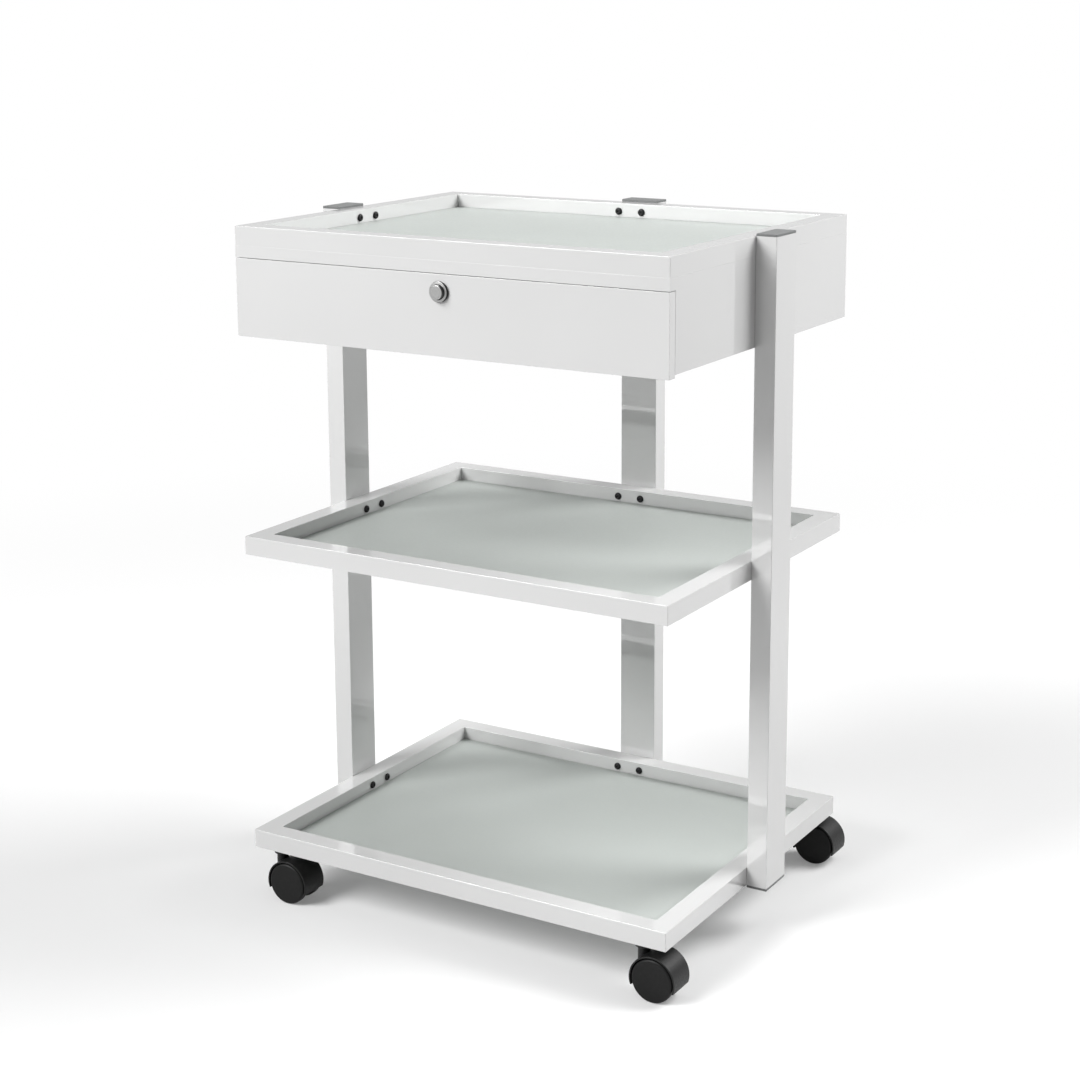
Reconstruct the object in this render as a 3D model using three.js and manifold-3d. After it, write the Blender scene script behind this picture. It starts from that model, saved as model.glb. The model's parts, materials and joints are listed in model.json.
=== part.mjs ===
// Rolling salon trolley: three framed glass shelves on three posts, a drawer under the top shelf,
// and four twin-wheel swivel casters.
// Millimetres, +Z up, +X to the right, the drawer opens towards -Y. The floor is z = 0.
import * as THREE from "three";
import { mergeVertices } from "three/addons/utils/BufferGeometryUtils.js";
import Module from "manifold-3d";

const wasm = await Module();
wasm.setup();

// ---------- driving dimensions ----------

// Shelf frames
const FRAME_WIDTH = 560;
const FRAME_DEPTH = 448;
const FRAME_CORNER = 2;
const RAIL_WIDTH = 24;
const RAIL_HEIGHT = 22;
const SHEET = 1.5;
const LEVEL_PITCH = 365;
const LEDGE_WIDTH = 6;
const LEDGE_HEIGHT = SHEET;

// Glass panes
const GLASS_THICKNESS = 4;
const GLASS_PLAY = 0.5;
const GLASS_CORNER = 2;

// Posts and their caps
const POST_WIDTH = 50;
const POST_DEPTH = 25;
const POST_CORNER = 2;
const CAP_THICKNESS = 3;
const CAP_PLUG = 7;
const PLUG_PLAY = 0.3;

// Shelf bolts, M5 button head
const BOLT_LEVEL = 12.2;
const BOLT_SPACING = 32;
const BOLT_RADIUS = 2.5;
const BOLT_HOLE_RADIUS = 2.8;
const BOLT_GRIP = RAIL_WIDTH + 10;
const BOLT_HEAD_RADIUS = 4.6;
const BOLT_HEAD_HEIGHT = 2.75;
const HEX_KEY = 3;
const HEX_DEPTH = 1.5;

// Drawer housing
const HOUSING_HEIGHT = 101;
const HOUSING_SETBACK = 12.3;
const HEADER_HEIGHT = 13.8;

// Drawer
const FRONT_THICKNESS = 12;
const FRONT_HEIGHT = 90.3;
const FRONT_WIDTH = 558;
const FRONT_TOP_GAP = 0.7;
const FRONT_EDGE = 1.5;
const RUNNER_LENGTH = 400;
const RUNNER_HEIGHT = 8;
const RUNNER_WIDTH = 10;
const RUNNER_WALL = 2;
const RUNNER_PLAY = 0.5;
const RUNNER_DROP = 17.5;
const BOX_LENGTH = 402;
const BOX_HEIGHT = 71;
const BOX_SIDE_GAP = 12;

// Knob and its screw
const KNOB_DROP = 19.2;
const KNOB_BASE_RADIUS = 11.5;
const KNOB_BASE_HEIGHT = 3.5;
const KNOB_RADIUS = 8;
const KNOB_HEIGHT = 8;
const KNOB_EDGE = 0.7;
const SCREW_RADIUS = 2;
const SCREW_HOLE_RADIUS = 2.3;
const SCREW_HEAD_RADIUS = 4;
const SCREW_HEAD_HEIGHT = 2.4;
const SCREW_REACH = 5;

// Casters
const CASTER_HEIGHT = 60;
const CASTER_INSET = 32.5;
const CASTER_TRAIL = 18.5;
const WHEEL_RADIUS = 25;
const WHEEL_INNER_FACE = 7.6;
const WHEEL_OUTER_FACE = 18.6;
const WHEEL_EDGE = 2;
const AXLE_RADIUS = 2.5;
const AXLE_HOLE_RADIUS = 2.8;
const AXLE_REACH = 13.6;
const HOOD_RADIUS = 28;
const HOOD_WALL = 1.8;
const HOOD_HALF_WIDTH = 18;
const HOOD_SKIRT = 9;
const WEB_HALF_WIDTH = 5;
const HUB_RADIUS = 8;
const BOSS_RADIUS = 7;
const BOSS_TOP = 55;
const SOCKET_FLOOR = 29;
const STEM_PIN_RADIUS = 4;
const STEM_NECK_RADIUS = 5.2;
const STEM_COLLAR_RADIUS = 10;
const STEM_COLLAR_HEIGHT = 4;
const STEM_THREAD_RADIUS = 5;
const STEM_THREAD_LENGTH = 14;
const RUNNING_PLAY = 0.3;

// Roundness of turned pieces
const WHEEL_SEGMENTS = 36;
const HOOD_SEGMENTS = 20;
const TURNED_SEGMENTS = 18;
const BOLT_SEGMENTS = 12;
const CORNER_SEGMENTS = 2;

// ---------- levels worked out from them ----------

const HALF_WIDTH = FRAME_WIDTH / 2;
const HALF_DEPTH = FRAME_DEPTH / 2;
const LEVELS = {
  bottom: CASTER_HEIGHT,
  middle: CASTER_HEIGHT + LEVEL_PITCH,
  top: CASTER_HEIGHT + 2 * LEVEL_PITCH,
};
const POST_LENGTH = 2 * LEVEL_PITCH + RAIL_HEIGHT;
const HOUSING_TOP = LEVELS.top;
const HOUSING_BOTTOM = HOUSING_TOP - HOUSING_HEIGHT;
const HOUSING_INNER_X = HALF_WIDTH - SHEET;
const HEADER_BOTTOM = HOUSING_TOP - HEADER_HEIGHT;
const FRONT_TOP = HEADER_BOTTOM - FRONT_TOP_GAP;
const FRONT_BOTTOM = FRONT_TOP - FRONT_HEIGHT;
const FRONT_BACK_Y = -HALF_DEPTH + FRONT_THICKNESS;
const KNOB_Z = FRONT_TOP - KNOB_DROP;
const RUNNER_Z = HOUSING_TOP - SHEET - RUNNER_DROP - RUNNER_HEIGHT / 2;
const RUNNER_SLOT = RUNNER_HEIGHT - 2 * RUNNER_WALL;
const BOX_HALF_WIDTH = HOUSING_INNER_X - BOX_SIDE_GAP;
const BOX_RIM_HEIGHT = RUNNER_SLOT - 2 * RUNNER_PLAY;
const BOX_TOP = RUNNER_Z + BOX_RIM_HEIGHT / 2;
const BOX_BOTTOM = BOX_TOP - BOX_HEIGHT;

// ---------- materials ----------

const finish = (color, roughness, metalness, extra = {}) => () =>
  new THREE.MeshStandardMaterial({ color, roughness, metalness, ...extra });
const whitePaint = finish(0xeeeeec, 0.12, 0);
const whiteLacquer = finish(0xeeeeec, 0.1, 0);
const frostedGlass = finish(0xc9d6cd, 0.35, 0, { transparent: true, opacity: 0.6 });
const greyPlastic = finish(0x7c807e, 0.55, 0);
const blackSteel = finish(0x262626, 0.45, 0.6);
const zincSteel = finish(0xb4b7b8, 0.35, 0.9);
const satinMetal = finish(0xa7a8a6, 0.3, 0.95);
const blackPlastic = finish(0x2b2b2c, 0.5, 0);
const greyTyre = finish(0x47494a, 0.6, 0);

// ---------- shape helpers ----------

// A three.js geometry as a manifold-3d solid, and back.
function solidOf(geometry) {
  const bare = geometry.clone();
  bare.deleteAttribute("normal");
  bare.deleteAttribute("uv");
  const merged = mergeVertices(bare, 1e-4);
  const mesh = new wasm.Mesh({
    numProp: 3,
    vertProperties: merged.attributes.position.array,
    triVerts: new Uint32Array(merged.index.array),
  });
  return new wasm.Manifold(mesh);
}

function geometryOf(solid) {
  const mesh = solid.getMesh();
  const geometry = new THREE.BufferGeometry();
  geometry.setAttribute("position", new THREE.BufferAttribute(mesh.vertProperties, mesh.numProp));
  geometry.setIndex(new THREE.BufferAttribute(mesh.triVerts, 1));
  geometry.computeVertexNormals();
  return geometry;
}

const cutAll = (solid, tools) => tools.reduce((left, tool) => left.subtract(tool), solid);
const joinAll = (solids) => solids.reduce((all, solid) => all.add(solid));

// A box between two corners.
function block([x0, x1], [y0, y1], [z0, z1]) {
  const box = new THREE.BoxGeometry(x1 - x0, y1 - y0, z1 - z0);
  return solidOf(box.translate((x0 + x1) / 2, (y0 + y1) / 2, (z0 + z1) / 2));
}

// Round bars along each axis, from one end to the other.
function barZ(radius, x, y, [z0, z1], segments = TURNED_SEGMENTS) {
  const bar = new THREE.CylinderGeometry(radius, radius, z1 - z0, segments);
  return solidOf(bar.rotateX(Math.PI / 2).translate(x, y, (z0 + z1) / 2));
}

function barX(radius, y, z, [x0, x1], segments = TURNED_SEGMENTS) {
  const bar = new THREE.CylinderGeometry(radius, radius, x1 - x0, segments);
  return solidOf(bar.rotateZ(Math.PI / 2).translate((x0 + x1) / 2, y, z));
}

function barY(radius, x, z, [y0, y1], segments = TURNED_SEGMENTS) {
  const bar = new THREE.CylinderGeometry(radius, radius, y1 - y0, segments);
  return solidOf(bar.translate(x, (y0 + y1) / 2, z));
}

// A centred rectangle with rounded corners.
function roundedRectangle(width, height, radius) {
  const x = width / 2 - radius;
  const y = height / 2 - radius;
  const shape = new THREE.Shape();
  shape.absarc(x, y, radius, 0, Math.PI / 2);
  shape.absarc(-x, y, radius, Math.PI / 2, Math.PI);
  shape.absarc(-x, -y, radius, Math.PI, Math.PI * 1.5);
  shape.absarc(x, -y, radius, Math.PI * 1.5, Math.PI * 2);
  return shape;
}

// An outline pushed up from z0 to z1.
function prism(shape, [z0, z1], curveSegments = CORNER_SEGMENTS) {
  const options = { depth: z1 - z0, bevelEnabled: false, curveSegments };
  return solidOf(new THREE.ExtrudeGeometry(shape, options).translate(0, 0, z0));
}

// An outline drawn in X and Z, pushed along Y from y0 to y1.
function prismY(shape, [y0, y1], curveSegments = CORNER_SEGMENTS) {
  const options = { depth: y1 - y0, bevelEnabled: false, curveSegments };
  const slab = new THREE.ExtrudeGeometry(shape, options);
  return solidOf(slab.rotateX(Math.PI / 2).translate(0, y1, 0));
}

// A profile of [radius, height] points turned round Z.
function turnedZ(profile, segments = TURNED_SEGMENTS) {
  const points = profile.map(([radius, height]) => new THREE.Vector2(radius, height));
  return new THREE.LatheGeometry(points, segments).rotateX(Math.PI / 2);
}

// ---------- shelf frames and glass ----------

const CASTER_X = HALF_WIDTH - CASTER_INSET;
const CASTER_Y = HALF_DEPTH - RAIL_WIDTH / 2;
const OPENING_WIDTH = FRAME_WIDTH - 2 * RAIL_WIDTH;
const OPENING_DEPTH = FRAME_DEPTH - 2 * RAIL_WIDTH;

// Holes for the two bolts of each post, through one rail only.
function boltHoles() {
  const reachX = [HALF_WIDTH - RAIL_WIDTH - 1, HALF_WIDTH + 1];
  const reachY = [HALF_DEPTH - RAIL_WIDTH - 1, HALF_DEPTH + 1];
  return [-BOLT_SPACING / 2, BOLT_SPACING / 2].flatMap((offset) => [
    barX(BOLT_HOLE_RADIUS, offset, BOLT_LEVEL, reachX, BOLT_SEGMENTS),
    barX(BOLT_HOLE_RADIUS, offset, BOLT_LEVEL, reachX.map((x) => -x).reverse(), BOLT_SEGMENTS),
    barY(BOLT_HOLE_RADIUS, offset, BOLT_LEVEL, reachY, BOLT_SEGMENTS),
  ]);
}

function casterHoles() {
  const radius = STEM_THREAD_RADIUS + RUNNING_PLAY;
  return [-CASTER_X, CASTER_X].flatMap((x) =>
    [-CASTER_Y, CASTER_Y].map((y) => barZ(radius, x, y, [-1, SHEET + 1])),
  );
}

// Hollow rails welded into a rectangle, with a ledge inside that carries the glass.
function frameGeometry(extraHoles = []) {
  const outer = prism(
    roundedRectangle(FRAME_WIDTH, FRAME_DEPTH, FRAME_CORNER), [0, RAIL_HEIGHT]);
  const above = block(
    [-OPENING_WIDTH / 2, OPENING_WIDTH / 2],
    [-OPENING_DEPTH / 2, OPENING_DEPTH / 2],
    [LEDGE_HEIGHT, RAIL_HEIGHT + 1],
  );
  const ledgeX = OPENING_WIDTH / 2 - LEDGE_WIDTH;
  const ledgeY = OPENING_DEPTH / 2 - LEDGE_WIDTH;
  const through = block([-ledgeX, ledgeX], [-ledgeY, ledgeY], [-1, RAIL_HEIGHT]);
  const hollowX = HALF_WIDTH - SHEET;
  const hollowY = HALF_DEPTH - SHEET;
  const hollowZ = [SHEET, RAIL_HEIGHT - SHEET];
  const coreX = OPENING_WIDTH / 2 + SHEET;
  const coreY = OPENING_DEPTH / 2 + SHEET;
  const hollow = block([-hollowX, hollowX], [-hollowY, hollowY], hollowZ)
    .subtract(block([-coreX, coreX], [-coreY, coreY], hollowZ));
  return geometryOf(cutAll(outer, [above, through, hollow, ...boltHoles(), ...extraHoles]));
}

function glassGeometry() {
  const outline = roundedRectangle(
    OPENING_WIDTH - 2 * GLASS_PLAY, OPENING_DEPTH - 2 * GLASS_PLAY, GLASS_CORNER);
  return geometryOf(prism(outline, [LEDGE_HEIGHT, LEDGE_HEIGHT + GLASS_THICKNESS]));
}

// ---------- posts, caps and bolts, in the post's own frame ----------
// Local +Y points from the post to the shelves, and local z = 0 is the post's lower end.

const POST_FACE = POST_DEPTH / 2;

function postGeometry() {
  const tube = prism(roundedRectangle(POST_WIDTH, POST_DEPTH, POST_CORNER), [0, POST_LENGTH]);
  const bore = prism(
    roundedRectangle(POST_WIDTH - 2 * SHEET, POST_DEPTH - 2 * SHEET, POST_CORNER / 2),
    [-1, POST_LENGTH + 1],
  );
  const holes = [0, LEVEL_PITCH, 2 * LEVEL_PITCH].flatMap((level) =>
    [-BOLT_SPACING / 2, BOLT_SPACING / 2].map((x) =>
      barY(BOLT_HOLE_RADIUS, x, level + BOLT_LEVEL, [0, POST_FACE + 1], BOLT_SEGMENTS)),
  );
  return geometryOf(cutAll(tube, [bore, ...holes]));
}

// A flat cap with a plug that presses into the tube. Local z = 0 is the tube's end.
function capGeometry() {
  const plate = prism(roundedRectangle(POST_WIDTH, POST_DEPTH, POST_CORNER), [0, CAP_THICKNESS]);
  const inset = 2 * (SHEET + PLUG_PLAY);
  const plug = prism(
    roundedRectangle(POST_WIDTH - inset, POST_DEPTH - inset, POST_CORNER / 2), [-CAP_PLUG, 1]);
  const relief = prism(
    roundedRectangle(POST_WIDTH - inset - 6, POST_DEPTH - inset - 6, POST_CORNER / 2),
    [-CAP_PLUG - 1, 0],
  );
  return geometryOf(plate.add(plug).subtract(relief));
}

// A button-head bolt with a hexagon socket. Its head stands on z = 0 and points up.
function boltGeometry() {
  const profile = [
    [0, -BOLT_GRIP],
    [BOLT_RADIUS, -BOLT_GRIP],
    [BOLT_RADIUS, 0],
    [BOLT_HEAD_RADIUS, 0],
    [BOLT_HEAD_RADIUS, BOLT_HEAD_HEIGHT * 0.25],
    [BOLT_HEAD_RADIUS * 0.88, BOLT_HEAD_HEIGHT * 0.72],
    [BOLT_HEAD_RADIUS * 0.58, BOLT_HEAD_HEIGHT],
    [0, BOLT_HEAD_HEIGHT],
  ];
  const socketRadius = HEX_KEY / Math.sqrt(3);
  const socket = barZ(
    socketRadius, 0, 0, [BOLT_HEAD_HEIGHT - HEX_DEPTH, BOLT_HEAD_HEIGHT + 1], 6);
  return geometryOf(solidOf(turnedZ(profile, BOLT_SEGMENTS)).subtract(socket));
}

// ---------- drawer ----------

// Folded sheet box, open at the front, with a header that stands out flush with the frames.
function housingGeometry() {
  const frontY = -HALF_DEPTH + HOUSING_SETBACK;
  const backY = HALF_DEPTH - SHEET;
  const shell = block([-HALF_WIDTH, HALF_WIDTH], [frontY, HALF_DEPTH], [HOUSING_BOTTOM, HOUSING_TOP]);
  const inside = block(
    [-HOUSING_INNER_X, HOUSING_INNER_X], [frontY - 1, backY],
    [HOUSING_BOTTOM + SHEET, HOUSING_TOP - SHEET],
  );
  const header = block(
    [-HALF_WIDTH, HALF_WIDTH], [-HALF_DEPTH, frontY + 1], [HEADER_BOTTOM, HOUSING_TOP]);
  const underHeader = block(
    [-HOUSING_INNER_X, HOUSING_INNER_X], [-HALF_DEPTH + SHEET, frontY + 2],
    [HEADER_BOTTOM - 1, HOUSING_TOP - SHEET],
  );
  return geometryOf(shell.add(header).subtract(inside).subtract(underHeader));
}

// A channel that opens to +X, centred on its own middle.
function runnerGeometry() {
  const halfLength = RUNNER_LENGTH / 2;
  const channel = block([0, RUNNER_WIDTH], [-halfLength, halfLength],
    [-RUNNER_HEIGHT / 2, RUNNER_HEIGHT / 2]);
  const slot = block([RUNNER_WALL, RUNNER_WIDTH + 1], [-halfLength - 1, halfLength + 1],
    [-RUNNER_SLOT / 2, RUNNER_SLOT / 2]);
  return geometryOf(channel.subtract(slot));
}

// Sheet tray with an outward rim on each side that slides in the runners.
function drawerBoxGeometry() {
  const lengthY = [FRONT_BACK_Y, FRONT_BACK_Y + BOX_LENGTH];
  const tray = block([-BOX_HALF_WIDTH, BOX_HALF_WIDTH], lengthY, [BOX_BOTTOM, BOX_TOP]);
  const rimX = HOUSING_INNER_X - RUNNER_WALL - RUNNER_PLAY;
  const rim = block([-rimX, rimX], lengthY, [BOX_TOP - BOX_RIM_HEIGHT, BOX_TOP]);
  const inside = block(
    [-BOX_HALF_WIDTH + SHEET, BOX_HALF_WIDTH - SHEET],
    [lengthY[0] + SHEET, lengthY[1] - SHEET],
    [BOX_BOTTOM + SHEET, BOX_TOP + 1],
  );
  const screwHole = barY(SCREW_HOLE_RADIUS, 0, KNOB_Z, [lengthY[0] - 1, lengthY[0] + SHEET + 1]);
  return geometryOf(cutAll(tray.add(rim), [inside, screwHole]));
}

function drawerFrontGeometry() {
  const outline = roundedRectangle(
    FRONT_WIDTH - 2 * FRONT_EDGE, FRONT_HEIGHT - 2 * FRONT_EDGE, FRONT_EDGE / 2);
  const slab = new THREE.ExtrudeGeometry(outline, {
    depth: FRONT_THICKNESS - 2 * FRONT_EDGE,
    bevelThickness: FRONT_EDGE,
    bevelSize: FRONT_EDGE,
    bevelSegments: 3,
    curveSegments: 2,
  });
  slab.rotateX(Math.PI / 2).translate(0, FRONT_BACK_Y - FRONT_EDGE, (FRONT_TOP + FRONT_BOTTOM) / 2);
  const hole = barY(SCREW_HOLE_RADIUS, 0, KNOB_Z, [-HALF_DEPTH - 1, FRONT_BACK_Y + 1]);
  return geometryOf(solidOf(slab).subtract(hole));
}

// A stepped round knob. Its back stands on z = 0 and it points up.
function knobGeometry() {
  const holeDepth = SCREW_REACH + RUNNING_PLAY;
  return turnedZ([
    [0, holeDepth],
    [SCREW_HOLE_RADIUS, holeDepth],
    [SCREW_HOLE_RADIUS, 0],
    [KNOB_BASE_RADIUS, 0],
    [KNOB_BASE_RADIUS, KNOB_BASE_HEIGHT - KNOB_EDGE],
    [KNOB_BASE_RADIUS - KNOB_EDGE, KNOB_BASE_HEIGHT],
    [KNOB_RADIUS, KNOB_BASE_HEIGHT],
    [KNOB_RADIUS, KNOB_HEIGHT - KNOB_EDGE],
    [KNOB_RADIUS - KNOB_EDGE, KNOB_HEIGHT],
    [0, KNOB_HEIGHT],
  ], HOOD_SEGMENTS);
}

// Pan-head screw. The head hangs below z = 0 and the shank points up through box, front and knob.
function screwGeometry() {
  const reach = SHEET + FRONT_THICKNESS + SCREW_REACH;
  return turnedZ([
    [0, -SCREW_HEAD_HEIGHT],
    [SCREW_HEAD_RADIUS * 0.6, -SCREW_HEAD_HEIGHT],
    [SCREW_HEAD_RADIUS * 0.92, -SCREW_HEAD_HEIGHT * 0.6],
    [SCREW_HEAD_RADIUS, 0],
    [SCREW_RADIUS, 0],
    [SCREW_RADIUS, reach],
    [0, reach],
  ]);
}

// ---------- casters, round their own swivel axis ----------

// Threaded upper end, collar against the rail, neck, and the pin that the hood turns on.
function stemGeometry() {
  return turnedZ([
    [0, SOCKET_FLOOR + RUNNING_PLAY],
    [STEM_PIN_RADIUS, SOCKET_FLOOR + RUNNING_PLAY],
    [STEM_PIN_RADIUS, BOSS_TOP + RUNNING_PLAY],
    [STEM_NECK_RADIUS, BOSS_TOP + RUNNING_PLAY],
    [STEM_NECK_RADIUS, CASTER_HEIGHT - STEM_COLLAR_HEIGHT],
    [STEM_COLLAR_RADIUS, CASTER_HEIGHT - STEM_COLLAR_HEIGHT],
    [STEM_COLLAR_RADIUS, CASTER_HEIGHT],
    [STEM_THREAD_RADIUS, CASTER_HEIGHT],
    [STEM_THREAD_RADIUS, CASTER_HEIGHT + STEM_THREAD_LENGTH],
    [0, CASTER_HEIGHT + STEM_THREAD_LENGTH],
  ]);
}

// A round-topped outline over the axle, closed by a level lower edge.
function hoodOutline(radius) {
  const dip = Math.asin(HOOD_SKIRT / radius);
  const shape = new THREE.Shape();
  shape.absarc(0, 0, radius, -dip, Math.PI + dip);
  shape.closePath();
  return shape;
}

// Curved band over both wheels, a web between them, the axle hub and the swivel socket.
function hoodGeometry() {
  const width = [-HOOD_HALF_WIDTH, HOOD_HALF_WIDTH];
  const webWidth = [-WEB_HALF_WIDTH, WEB_HALF_WIDTH];
  const innerRadius = HOOD_RADIUS - HOOD_WALL;
  const arch = prismY(hoodOutline(HOOD_RADIUS), width, HOOD_SEGMENTS);
  const wheelSpace = barY(
    innerRadius, 0, 0, [-HOOD_HALF_WIDTH - 1, HOOD_HALF_WIDTH + 1], WHEEL_SEGMENTS);
  const web = prismY(hoodOutline(innerRadius + HOOD_WALL / 2), webWidth, HOOD_SEGMENTS);
  const hub = barY(HUB_RADIUS, 0, 0, webWidth);
  const axleHole = barY(AXLE_HOLE_RADIUS, 0, 0, [-WEB_HALF_WIDTH - 1, WEB_HALF_WIDTH + 1]);
  const boss = barZ(
    BOSS_RADIUS, -CASTER_TRAIL, 0, [SOCKET_FLOOR - 2 - WHEEL_RADIUS, BOSS_TOP - WHEEL_RADIUS]);
  const socket = barZ(
    STEM_PIN_RADIUS + RUNNING_PLAY, -CASTER_TRAIL, 0,
    [SOCKET_FLOOR - WHEEL_RADIUS, BOSS_TOP - WHEEL_RADIUS + 1],
  );
  const body = joinAll([arch.subtract(wheelSpace), web, hub, boss]);
  return geometryOf(cutAll(body, [axleHole, socket]));
}

function axleGeometry() {
  return geometryOf(barY(AXLE_RADIUS, 0, 0, [-AXLE_REACH, AXLE_REACH]));
}

// One wheel, turned about its axle. Its plain outer face points along local +Y.
function wheelGeometry() {
  const boreEnd = AXLE_REACH + RUNNING_PLAY;
  const profile = [
    [0, boreEnd],
    [AXLE_HOLE_RADIUS, boreEnd],
    [AXLE_HOLE_RADIUS, WHEEL_INNER_FACE],
    [WHEEL_RADIUS - WHEEL_EDGE, WHEEL_INNER_FACE],
    [WHEEL_RADIUS, WHEEL_INNER_FACE + WHEEL_EDGE],
    [WHEEL_RADIUS, WHEEL_OUTER_FACE - WHEEL_EDGE],
    [WHEEL_RADIUS - WHEEL_EDGE, WHEEL_OUTER_FACE],
    [0, WHEEL_OUTER_FACE],
  ];
  const points = profile.map(([radius, height]) => new THREE.Vector2(radius, height));
  return new THREE.LatheGeometry(points, WHEEL_SEGMENTS);
}

// ---------- assembly ----------

function piece(name, geometry, material, parent) {
  const mesh = new THREE.Mesh(geometry, material());
  mesh.name = name;
  parent.add(mesh);
  return mesh;
}

function addShelves(trolley) {
  const glass = glassGeometry();
  const plainFrame = frameGeometry();
  const casterFrame = frameGeometry(casterHoles());
  for (const [level, z] of Object.entries(LEVELS)) {
    const frame = level === "bottom" ? casterFrame : plainFrame;
    piece(`${level}_frame`, frame, whitePaint, trolley).position.z = z;
    piece(`${level}_glass`, glass, frostedGlass, trolley).position.z = z;
  }
}

// Each post stands outside a rail, with its caps and the bolts that come to it from the shelves.
function addPosts(trolley) {
  const post = postGeometry();
  const cap = capGeometry();
  const bolt = boltGeometry();
  const sideX = HALF_WIDTH + POST_FACE;
  const places = [
    ["left", -sideX, 0, -Math.PI / 2],
    ["right", sideX, 0, Math.PI / 2],
    ["rear", 0, HALF_DEPTH + POST_FACE, Math.PI],
  ];
  for (const [side, x, y, turn] of places) {
    const group = new THREE.Group();
    group.position.set(x, y, CASTER_HEIGHT);
    group.rotation.z = turn;
    trolley.add(group);
    piece(`${side}_post`, post, whitePaint, group);
    piece(`${side}_post_top_cap`, cap, greyPlastic, group).position.z = POST_LENGTH;
    piece(`${side}_post_bottom_cap`, cap, greyPlastic, group).rotation.x = Math.PI;
    for (const [level, z] of Object.entries(LEVELS)) {
      for (const [number, offset] of [[1, -BOLT_SPACING / 2], [2, BOLT_SPACING / 2]]) {
        const mesh = piece(`${level}_${side}_bolt_${number}`, bolt, blackSteel, group);
        mesh.rotation.x = -Math.PI / 2;
        mesh.position.set(offset, POST_FACE + RAIL_WIDTH, z - CASTER_HEIGHT + BOLT_LEVEL);
      }
    }
  }
}

function addDrawer(trolley) {
  piece("drawer_housing", housingGeometry(), whitePaint, trolley);
  const runner = runnerGeometry();
  const runnerY = FRONT_BACK_Y + 6 + RUNNER_LENGTH / 2;
  const left = piece("left_drawer_runner", runner, zincSteel, trolley);
  left.position.set(-HOUSING_INNER_X, runnerY, RUNNER_Z);
  const right = piece("right_drawer_runner", runner, zincSteel, trolley);
  right.position.set(HOUSING_INNER_X, runnerY, RUNNER_Z);
  right.rotation.z = Math.PI;
  piece("drawer_box", drawerBoxGeometry(), whitePaint, trolley);
  piece("drawer_front", drawerFrontGeometry(), whiteLacquer, trolley);
  const knob = piece("drawer_knob", knobGeometry(), satinMetal, trolley);
  knob.position.set(0, -HALF_DEPTH, KNOB_Z);
  knob.rotation.x = Math.PI / 2;
  const screw = piece("knob_screw", screwGeometry(), zincSteel, trolley);
  screw.position.set(0, FRONT_BACK_Y + SHEET, KNOB_Z);
  screw.rotation.x = Math.PI / 2;
}

// All four casters trail towards +X, as they stand after the trolley has been pushed to -X.
function addCasters(trolley) {
  const stem = stemGeometry();
  const hood = hoodGeometry();
  const axle = axleGeometry();
  const wheel = wheelGeometry();
  for (const [end, y] of [["front", -CASTER_Y], ["rear", CASTER_Y]]) {
    for (const [side, x] of [["left", -CASTER_X], ["right", CASTER_X]]) {
      const caster = new THREE.Group();
      caster.position.set(x, y, 0);
      trolley.add(caster);
      const name = `${end}_${side}_caster`;
      piece(`${name}_stem`, stem, blackSteel, caster);
      const trailing = new THREE.Group();
      trailing.position.set(CASTER_TRAIL, 0, WHEEL_RADIUS);
      caster.add(trailing);
      piece(`${name}_hood`, hood, blackPlastic, trailing);
      piece(`${name}_axle`, axle, zincSteel, trailing);
      piece(`${name}_near_wheel`, wheel, greyTyre, trailing).rotation.z = Math.PI;
      piece(`${name}_far_wheel`, wheel, greyTyre, trailing);
    }
  }
}

const trolley = new THREE.Group();
trolley.name = "rolling_salon_trolley";
addShelves(trolley);
addPosts(trolley);
addDrawer(trolley);
addCasters(trolley);

export default trolley;
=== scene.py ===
import json
import math

import bmesh
import bpy
from mathutils import Matrix, Vector

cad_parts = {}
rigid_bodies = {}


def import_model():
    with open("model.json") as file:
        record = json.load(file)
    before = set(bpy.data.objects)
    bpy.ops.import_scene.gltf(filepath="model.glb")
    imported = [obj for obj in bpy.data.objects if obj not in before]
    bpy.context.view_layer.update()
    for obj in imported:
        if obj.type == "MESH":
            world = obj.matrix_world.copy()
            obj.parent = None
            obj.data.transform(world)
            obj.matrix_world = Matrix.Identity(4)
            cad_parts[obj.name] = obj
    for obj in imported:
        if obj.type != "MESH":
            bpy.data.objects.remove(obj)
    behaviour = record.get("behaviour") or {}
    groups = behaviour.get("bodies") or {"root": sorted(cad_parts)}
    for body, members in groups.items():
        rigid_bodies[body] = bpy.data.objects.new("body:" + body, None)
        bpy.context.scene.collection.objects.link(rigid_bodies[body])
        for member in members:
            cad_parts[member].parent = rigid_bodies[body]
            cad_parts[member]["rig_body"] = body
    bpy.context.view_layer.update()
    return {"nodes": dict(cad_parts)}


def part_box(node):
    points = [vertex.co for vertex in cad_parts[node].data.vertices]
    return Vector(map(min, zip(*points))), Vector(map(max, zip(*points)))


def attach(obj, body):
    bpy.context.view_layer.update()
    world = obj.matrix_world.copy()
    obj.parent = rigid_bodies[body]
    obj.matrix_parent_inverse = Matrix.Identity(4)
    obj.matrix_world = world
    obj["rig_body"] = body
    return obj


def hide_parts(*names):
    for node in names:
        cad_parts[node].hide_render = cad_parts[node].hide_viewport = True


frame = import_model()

nodes = frame["nodes"]
LEVELS = ("bottom", "middle", "top")
SIDES = ("left", "right", "rear")
CASTERS = ("front_left", "front_right", "rear_left", "rear_right")
MM = 0.001
# Used by the knob's painted dark reflection bands as well as its shape.
KNOB_BASE_RADIUS = 11.5 * MM
KNOB_RADIUS = 8 * MM

# ---------------------------------------------------------------- materials


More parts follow.
